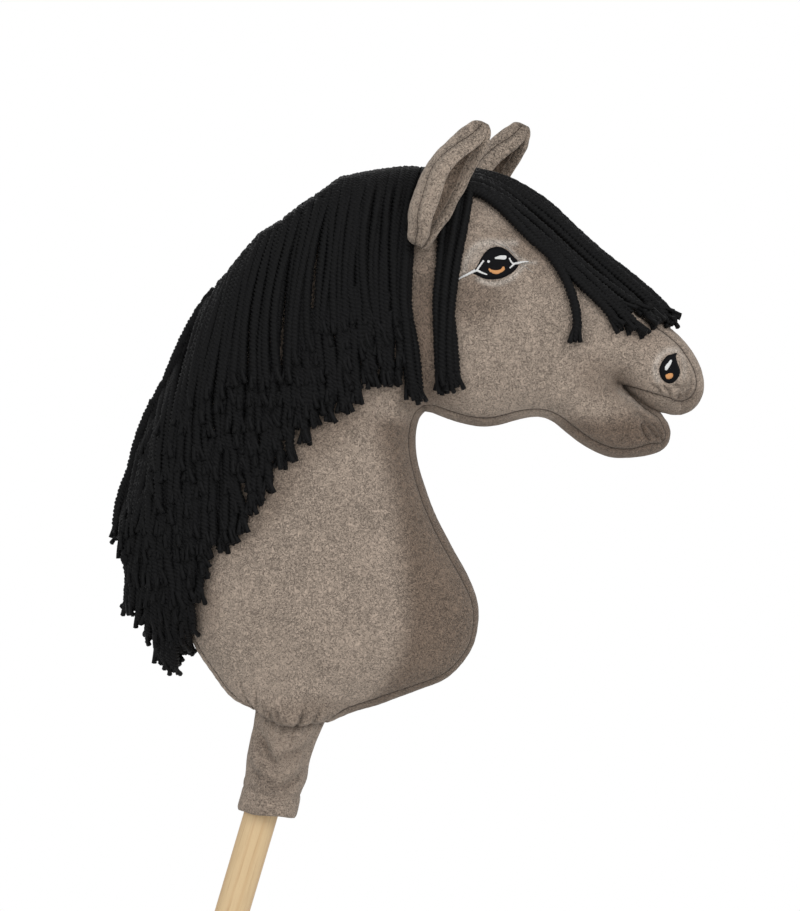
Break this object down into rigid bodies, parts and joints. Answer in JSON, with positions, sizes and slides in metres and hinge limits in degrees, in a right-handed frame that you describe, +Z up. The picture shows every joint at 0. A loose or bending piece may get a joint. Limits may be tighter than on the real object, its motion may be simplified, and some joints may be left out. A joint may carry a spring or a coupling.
{
  "type": "hobby horse",
  "caption": "Stuffed plush horse head with a yarn mane, embroidered eyes and a cloth cuff, that slides onto a round wooden stick for a child to ride astride.",
  "frame": {"origin": "centre of the stick's lower end face", "axes": "+X towards the horse's nose, +Z up as it stands in the picture, the stick leaning 16.5 degrees with its foot to the back; the side that the picture shows is on -Y"},
  "size_m": [0.452, 0.142, 0.8992],
  "materials": {
    "plush": "short taupe pile",
    "plush_shaded": "the same pile, airbrushed darker",
    "ear_plush": "the same pile, a little lighter",
    "lining": "dark brown cloth",
    "filling": "white polyester stuffing",
    "yarn": "black twisted cotton yarn",
    "tape": "black woven tape",
    "pine": "sanded bare pine",
    "pocket": "stiff undyed canvas",
    "thread_black": "black satin stitch",
    "thread_orange": "orange satin stitch",
    "thread_white": "white satin stitch"
  },
  "bodies": {
    "stick": {"stick": "pine"},
    "head": {"stick_pocket": "pocket", "cuff": "plush", "near_side_panel": "plush", "far_side_panel": "plush", "back_gusset": "plush", "forehead_gusset": "plush", "chin_gusset": "plush", "neck_gusset": "plush_shaded", "mouth_lining": "lining", "neck_filling": "filling", "head_filling": "filling", "muzzle_filling": "filling", "chin_filling": "filling", "crest_tape": "tape", "near_ear_shell": "ear_plush", "near_ear_lining": "plush_shaded", "far_ear_shell": "ear_plush", "far_ear_lining": "plush_shaded", "near_eye": "thread_black", "near_iris": "thread_orange", "near_eye_glint": "thread_white", "near_nostril": "thread_black", "near_nostril_spot": "thread_orange", "far_eye": "thread_black", "far_iris": "thread_orange", "far_eye_glint": "thread_white", "far_nostril": "thread_black", "far_nostril_spot": "thread_orange", "mane_near_1": "yarn", "mane_near_2": "yarn", "mane_near_3": "yarn", "mane_near_4": "yarn", "mane_near_5": "yarn", "mane_near_6": "yarn", "mane_near_7": "yarn", "mane_far_1": "yarn", "mane_far_2": "yarn", "mane_far_3": "yarn", "mane_far_4": "yarn", "mane_far_5": "yarn", "mane_far_6": "yarn", "mane_far_7": "yarn", "rear_lock_near": "yarn", "rear_lock_far": "yarn", "front_lock_near": "yarn", "front_lock_far": "yarn", "forelock_1": "yarn", "forelock_2": "yarn", "forelock_3": "yarn", "forelock_4": "yarn", "forelock_5": "yarn", "forelock_6": "yarn"}
  },
  "joints": [
    {"name": "head_lifts_off", "type": "slide", "parent": "stick", "child": "head", "axis": [0.284, 0, 0.9588], "range_m": [0, 0.33]}
  ]
}
